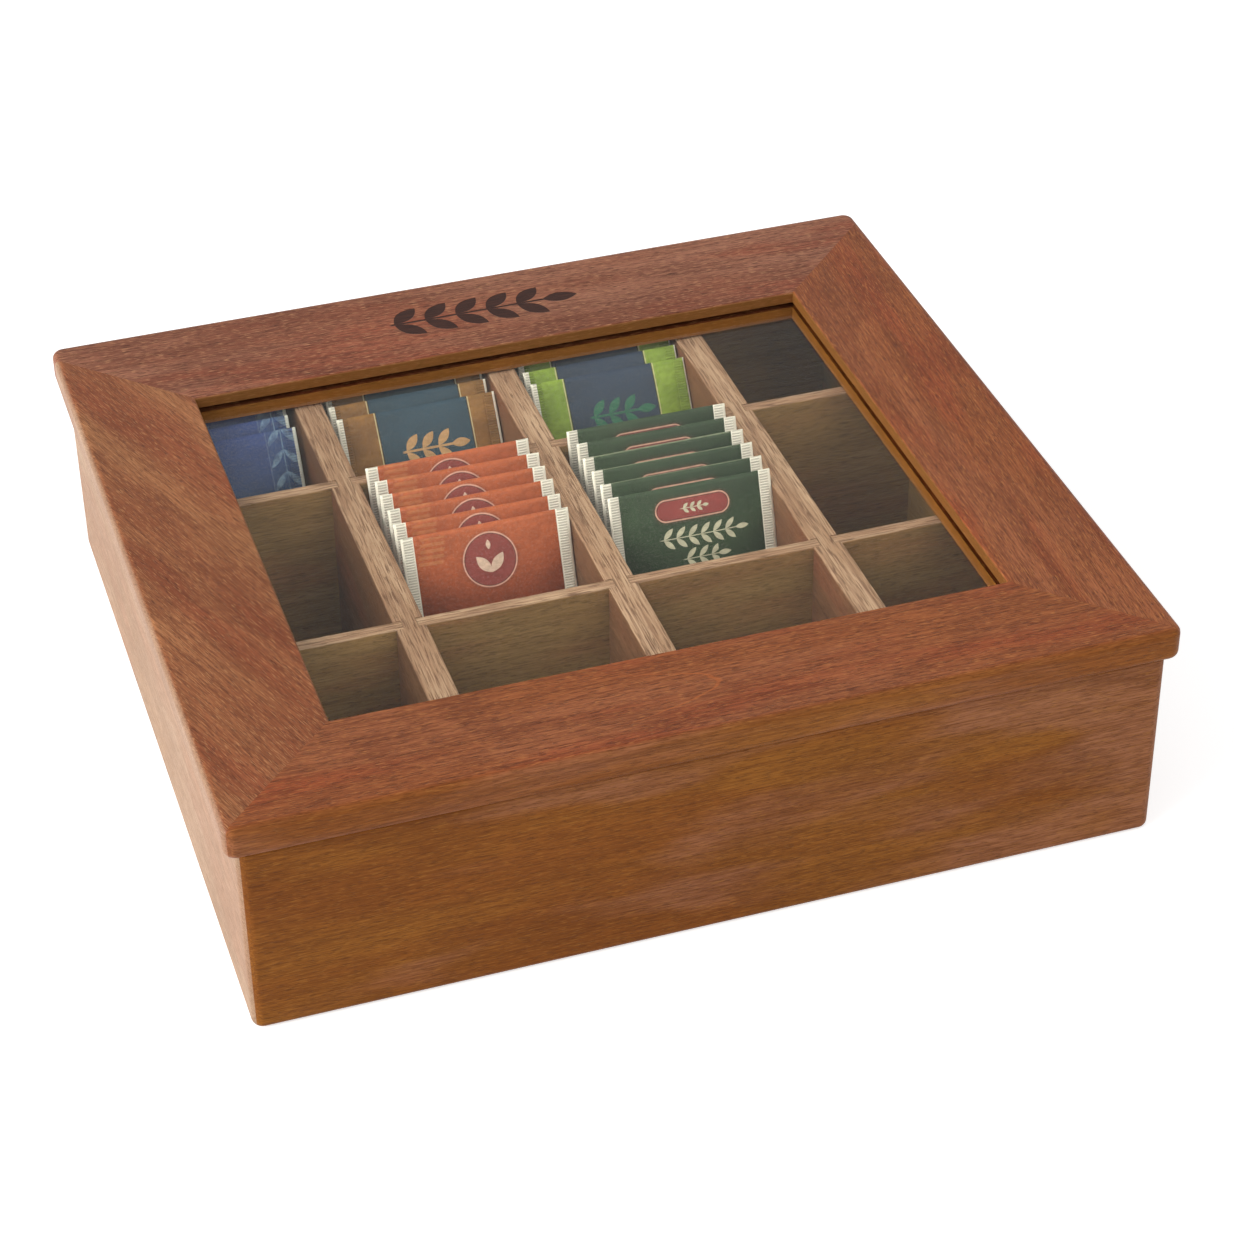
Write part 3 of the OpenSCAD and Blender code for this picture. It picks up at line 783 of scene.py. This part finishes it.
def add_sachet(mesh, sheet, place, phase, print_lift):
    """One closed envelope: two papers over a belly, which meet in flat seams at the sides."""
    columns = columns_of(place.width)
    rows = [share * place.height for share in spread(ROW_STEPS)]
    front = skin(mesh, place, phase, 1.0, columns, rows)
    back = skin(mesh, place, phase, -1.0, columns, rows)

    def spot(row, column):
        return columns[column], place.height - rows[row] + print_lift

    for row in range(len(rows) - 1):
        for column in range(len(columns) - 1):
            ring = [(row, column), (row, column + 1), (row + 1, column + 1), (row + 1, column)]
            face(mesh, sheet, [front[a][b] for a, b in ring], [spot(a, b) for a, b in ring])
            ring.reverse()
            face(mesh, sheet, [back[a][b] for a, b in ring], [spot(a, b) for a, b in ring])
    rim = rim_cells(len(rows), len(columns))
    for (a, b), (c, d) in zip(rim, rim[1:] + rim[:1]):
        ring = [back[a][b], back[c][d], front[c][d], front[a][b]]
        face(mesh, sheet, ring, [spot(a, b), spot(c, d), spot(c, d), spot(a, b)])


def rim_cells(rows, columns):
    """Grid places once round the rim."""
    foot = [(0, column) for column in range(columns)]
    right = [(row, columns - 1) for row in range(1, rows)]
    top = [(rows - 1, column) for column in range(columns - 2, -1, -1)]
    left = [(row, 0) for row in range(rows - 2, 0, -1)]
    return foot + right + top + left


def add_stack(colour, seed, material, first_lift=0.0, lifts=(0.2, 1.5)):
    """The leaning sachets of one compartment, in place of their CAD solids.

    The prints are cut from their roll a little unevenly: the lifts say how high each one sits."""
    node = colour + "_sachets"
    dice = random.Random(seed)
    data = bpy.data.meshes.new(colour + "_sachet_paper")
    mesh = bmesh.new()
    sheet = mesh.loops.layers.uv.new(SHEET_MAP)
    places = sorted((Place(group) for group in islands(node)), key=lambda place: place.foot.y)
    for number, place in enumerate(places):
        place.disturb(dice)
        print_lift = dice.uniform(*lifts) if number else first_lift
        add_sachet(mesh, sheet, place, dice.uniform(0.0, FOLD_PHASE), print_lift)
    bmesh.ops.recalc_face_normals(mesh, faces=mesh.faces)
    mesh.to_mesh(data)
    mesh.free()
    data.polygons.foreach_set("use_smooth", [True] * len(data.polygons))
    data.materials.append(material)
    piece = bpy.data.objects.new(colour + "_sachet_stack", data)
    bpy.context.scene.collection.objects.link(piece)
    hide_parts(node)
    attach(piece, "case")


# ---- Sachets: their prints ----

SACHET_HALF = 31.65
# The crimp's ribs: their pitch, and where they begin and end from the sachet's side edge.
RIB_PITCH = 1.0
RIB_FROM = 4.2
RIB_TO = 0.9
SEAM_WHITE = srgb(250, 247, 247)


class Paper(Surface):
    """Printed paper with crimped seams: u runs across a sachet, v down from its top edge."""

    def __init__(self, name):
        super().__init__(name)
        self.u, self.v = self.sheet_place()
        self.point = self.vector(self.u, self.v, 0.0)

    def finish(self, colour, white_left, white_right, white=SEAM_WHITE):
        """Paper grain, the unprinted white of the seams, their ribs with painted shade in the
        troughs, and the wrinkles.
        """
        weave = self.noise(self.point, (0.8, 0.8, 0.8), 3.0, 0.6)
        cloud = self.noise(self.point, (16.0, 10.0, 16.0), 4.0, 0.6)
        fleck = self.noise(self.point, (2.6, 1.6, 2.0), 3.0, 0.65)
        shaded = self.mix(cloud.rise(0.40, 0.80) * 0.30, colour, srgb(90, 82, 80), "MULTIPLY")
        shaded = self.mix(fleck.rise(0.62, 0.40) * 0.22, shaded, srgb(120, 108, 104), "MULTIPLY")
        shaded = self.mix(weave.rise(0.45, 0.85) * 0.12, shaded, srgb(235, 230, 225))
        in_seam = abs(self.u).rise(SACHET_HALF - CRIMP, SACHET_HALF - CRIMP + 0.6)
        ribs = (self.v * (2.0 * math.pi / RIB_PITCH)).math("SINE") * 0.5 + 0.5
        ribbed = abs(self.u).between(SACHET_HALF - RIB_FROM, SACHET_HALF - RIB_TO, 0.25)
        bare = (self.u.rise(white_left - SACHET_HALF + 0.1, white_left - SACHET_HALF - 0.1)).most(
            self.u.rise(SACHET_HALF - white_right - 0.1, SACHET_HALF - white_right + 0.1))
        # Painted shade in the troughs of the crimp's ribs, on the white seams and over the print.
        white_with_painted_rib_shade = self.mix(ribs * ribbed * 0.55, white, srgb(150, 144, 138))
        shaded = self.mix(ribs * ribbed * 0.22, shaded, srgb(70, 62, 56))
        self.set("Base Color", self.mix(bare, shaded, white_with_painted_rib_shade))
        self.set("Roughness", weave * 0.2 + 0.42)
        self.shader.inputs["Specular IOR Level"].default_value = 0.3
        wrinkle = self.noise(self.point, (6.0, 10.0, 6.0), 3.0, 0.55)
        relief = wrinkle * 0.7 + weave * 0.03 + ribs * ribbed * 0.5 + in_seam * -0.3
        self.bump(relief, 0.45)
        return self.material


# How far down a sachet its ground colour changes.
SHADE_REACH = 40.0


def label(paper, colour, distance, reach, fill):
    """A filled label round whatever the distance is measured from.

    It is a soft shadow, a pale outline, a dark line and the fill, each inside the one before."""
    colour = paper.mix(distance.rise(reach + 1.6, reach - 0.4) * 0.35, colour, srgb(110, 50, 40))
    colour = paper.mix(distance.rise(reach + 0.1, reach - 0.1), colour, srgb(222, 172, 160))
    colour = paper.mix(distance.rise(reach - 0.45, reach - 0.65), colour, srgb(96, 34, 38))
    return paper.mix(distance.rise(reach - 0.75, reach - 0.95), colour, fill)


ORANGE_LABEL = 13.3


def orange_paper():
    """Orange, darker towards the foot, with a round label that holds a pair of leaves."""
    paper = Paper("orange_print")
    down = (paper.v * (1.0 / SHADE_REACH)).rise(0.0, 1.0)
    colour = paper.mix(down, srgb(188, 94, 54), srgb(136, 56, 28))
    # Painted highlight: faint lighter bars near the top left, where light catches bars embossed in
    # the paper.
    painted_bar_highlight = (paper.v.math("FLOORED_MODULO", 2.3)).rise(0.9, 1.2) * paper.v.between(1.5, 12.5)
    painted_bar_highlight = painted_bar_highlight * (paper.u + paper.v * 0.2).between(-24.0, -15.0)
    colour = paper.mix(painted_bar_highlight * 0.16, colour, srgb(236, 190, 130))
    offset = paper.v - ORANGE_LABEL
    distance = (paper.u * paper.u + offset * offset).math("SQRT")
    colour = label(paper, colour, distance, 10.25, srgb(146, 62, 62))
    pale = srgb(232, 202, 190)
    for side in (-1.0, 1.0):
        along, aside = turned(paper.u - side * 2.5, paper.v - ORANGE_LABEL - 1.4, side * -52.0)
        colour = paper.mix(leaf(along, aside, length=8.4, width=3.8), colour, pale)
    along, aside = turned(paper.u, paper.v - ORANGE_LABEL + 5.6, 90.0)
    colour = paper.mix(leaf(along, aside, length=3.6, width=1.7), colour, pale)
    return paper.finish(colour, white_left=4.6, white_right=4.8)


GREEN_LABEL = 9.2


def green_paper():
    """Dark green, with a pill-shaped label and two rows of leaves."""
    paper = Paper("green_print")
    shade = paper.noise(paper.point, (30.0, 20.0, 30.0), 3.0)
    colour = paper.mix(shade.rise(0.3, 0.7), srgb(38, 62, 44), srgb(58, 82, 60))
    offset = paper.v - GREEN_LABEL
    across = (abs(paper.u) - 10.25).most(0.0)
    distance = (across * across + offset * offset).math("SQRT")
    colour = label(paper, colour, distance, 4.25, srgb(155, 65, 67))
    cream = srgb(214, 212, 194)
    mark = sprig(
        paper.u, paper.v - GREEN_LABEL,
        reach=4.0, pitch=2.7, length=2.6, width=1.2, degrees=40.0, stem=0.3)
    colour = paper.mix(mark, colour, cream)
    for row, reach in ((10.6, 14.5), (19.0, 6.5)):
        below = paper.v - GREEN_LABEL - row
        mark = sprig(
            paper.u - 1.5, below,
            reach=reach, pitch=4.8, length=5.4, width=2.0, degrees=44.0, stem=0.35)
        colour = paper.mix(mark, colour, cream)
    colour = paper.mix(paper.v.rise(0.6, 0.4), colour, srgb(124, 134, 114))
    return paper.finish(colour, white_left=4.2, white_right=4.6)


PANEL_MARK = 17.0


def banded_paper(name, side, panel, ink, left, right, whites):
    """A light band down each side of a darker panel that runs from left to right."""
    paper = Paper(name)
    light, dark = side
    shade = paper.noise(paper.point, (26.0, 16.0, 26.0), 3.0)
    edges = paper.mix(shade.rise(0.35, 0.7), light, dark)
    field = paper.mix((paper.v * (1.0 / SHADE_REACH)).rise(0.0, 1.0), panel[0], panel[1])
    middle = paper.u.between(left, right)
    colour = paper.mix(middle, edges, field)
    for edge, way in ((left, -1.0), (right, 1.0)):
        near = (paper.u - edge) * way
        colour = paper.mix(near.between(0.5, 0.9), colour, srgb(206, 196, 160))
        colour = paper.mix(near.between(-0.1, 0.35), colour, srgb(44, 48, 56))
    centre = (left + right) / 2.0
    mark = sprig(
        paper.u - centre, paper.v - PANEL_MARK,
        reach=9.6, pitch=6.4, length=7.8, width=3.4, degrees=48.0, stem=0.9)
    colour = paper.mix(mark, colour, ink)
    return paper.finish(colour, *whites)


BLUE_REACH = 36.0
BLUE_STRIP = 20.0


def blue_paper():
    """Blue, with a faint strip of leaves down its right side."""
    paper = Paper("blue_print")
    down = (paper.v * (1.0 / BLUE_REACH)).rise(0.0, 1.0)
    colour = paper.mix(down, srgb(46, 70, 138), srgb(42, 72, 124))
    strip = paper.u.rise(BLUE_STRIP - 0.1, BLUE_STRIP + 0.1)
    colour = paper.mix(strip * 0.35, colour, srgb(52, 84, 130))
    edge = paper.u.between(BLUE_STRIP - 0.6, BLUE_STRIP - 0.2)
    colour = paper.mix(edge * 0.3, colour, srgb(140, 160, 196))
    mark = sprig(
        paper.v - 24.0, paper.u - 25.6,
        reach=26.0, pitch=8.6, length=8.6, width=2.6, degrees=40.0, stem=0.4)
    vein = paper.noise(paper.point, (3.0, 3.0, 3.0), 2.0).rise(0.35, 0.6)
    colour = paper.mix(mark * (vein * 0.45 + 0.20), colour, srgb(132, 164, 200))
    return paper.finish(colour, white_left=4.8, white_right=1.3, white=srgb(214, 220, 224))


add_stack("orange", 3, orange_paper(), lifts=(0.7, 1.9))
add_stack("green", 5, green_paper(), first_lift=0.7, lifts=(-0.1, 0.9))
add_stack("tan", 8, banded_paper(
    "tan_print",
    side=(srgb(156, 110, 56), srgb(130, 88, 44)),
    panel=(srgb(36, 68, 94), srgb(36, 66, 90)),
    ink=srgb(196, 154, 112), left=-16.0, right=20.0, whites=(2.4, 0.9)))
add_stack("lime", 9, banded_paper(
    "lime_print",
    side=(srgb(146, 176, 66), srgb(126, 156, 56)),
    panel=(srgb(38, 58, 90), srgb(40, 58, 84)),
    ink=srgb(44, 112, 92), left=-17.8, right=17.8, whites=(2.4, 0.5)))
add_stack("blue", 12, blue_paper())


# ---- Floor and light ----

FLOOR_REACH = 4.0
FLOOR_SHADE = 0.80
FLOOR_GLOW = 0.55
WORLD_LIGHT = 0.55
SEEN_RAYS = ("Camera", "Glossy", "Transmission")


def seen(tree):
    """1 for the camera's rays and for those that gloss or a clear piece sends on."""
    path = tree.nodes.new("ShaderNodeLightPath")
    rays = [Field(tree, path.outputs["Is " + kind + " Ray"]) for kind in SEEN_RAYS]
    return rays[0].most(rays[1]).most(rays[2])


def add_floor():
    """A pale floor that glows a little for the camera only, and keeps the chest's shadow."""
    data = bpy.data.meshes.new("floor")
    mesh = bmesh.new()
    bmesh.ops.create_grid(mesh, x_segments=8, y_segments=8, size=FLOOR_REACH)
    mesh.to_mesh(data)
    mesh.free()
    floor = bpy.data.objects.new("floor", data)
    bpy.context.scene.collection.objects.link(floor)
    surface = Surface("floor_paint")
    tree = surface.tree
    surface.set("Base Color", (FLOOR_SHADE, FLOOR_SHADE, FLOOR_SHADE, 1.0))
    surface.set("Roughness", 0.9)
    surface.set("Specular IOR Level", 0.0)
    glow = tree.nodes.new("ShaderNodeEmission")
    feed(tree, glow.inputs["Strength"], seen(tree) * FLOOR_GLOW)
    both = tree.nodes.new("ShaderNodeAddShader")
    tree.links.new(surface.shader.outputs["BSDF"], both.inputs[0])
    tree.links.new(glow.outputs["Emission"], both.inputs[1])
    tree.links.new(both.outputs["Shader"], tree.nodes["Material Output"].inputs["Surface"])
    data.materials.append(surface.material)


def add_world():
    """Even light from all round, which looks white to the camera."""
    world = bpy.data.worlds.new("studio")
    world.use_nodes = True
    tree = world.node_tree
    background = tree.nodes["Background"]
    background.inputs["Color"].default_value = (1.0, 1.0, 1.0, 1.0)
    strength = seen(tree) * (1.0 - WORLD_LIGHT) + WORLD_LIGHT
    feed(tree, background.inputs["Strength"], strength)
    bpy.context.scene.world = world


def add_lamp(name, place, target, size, power):
    """A square soft box that faces a point on the chest."""
    data = bpy.data.lights.new(name, "AREA")
    data.shape = "SQUARE"
    data.size = size
    data.energy = power
    lamp = bpy.data.objects.new(name, data)
    lamp.location = place
    lamp.rotation_euler = (Vector(target) - Vector(place)).to_track_quat("-Z", "Y").to_euler()
    bpy.context.scene.collection.objects.link(lamp)


add_floor()
add_world()
add_lamp("key_lamp", (-1.6, -0.5, 1.5), (0.0, 0.0, 0.04), size=1.2, power=19.0)
add_lamp("side_lamp", (-2.0, 0.05, 0.36), (-0.16, 0.0, 0.05), size=0.6, power=26.0)
add_lamp("fill_lamp", (0.6, -1.6, 1.4), (0.0, 0.0, 0.04), size=1.4, power=9.0)
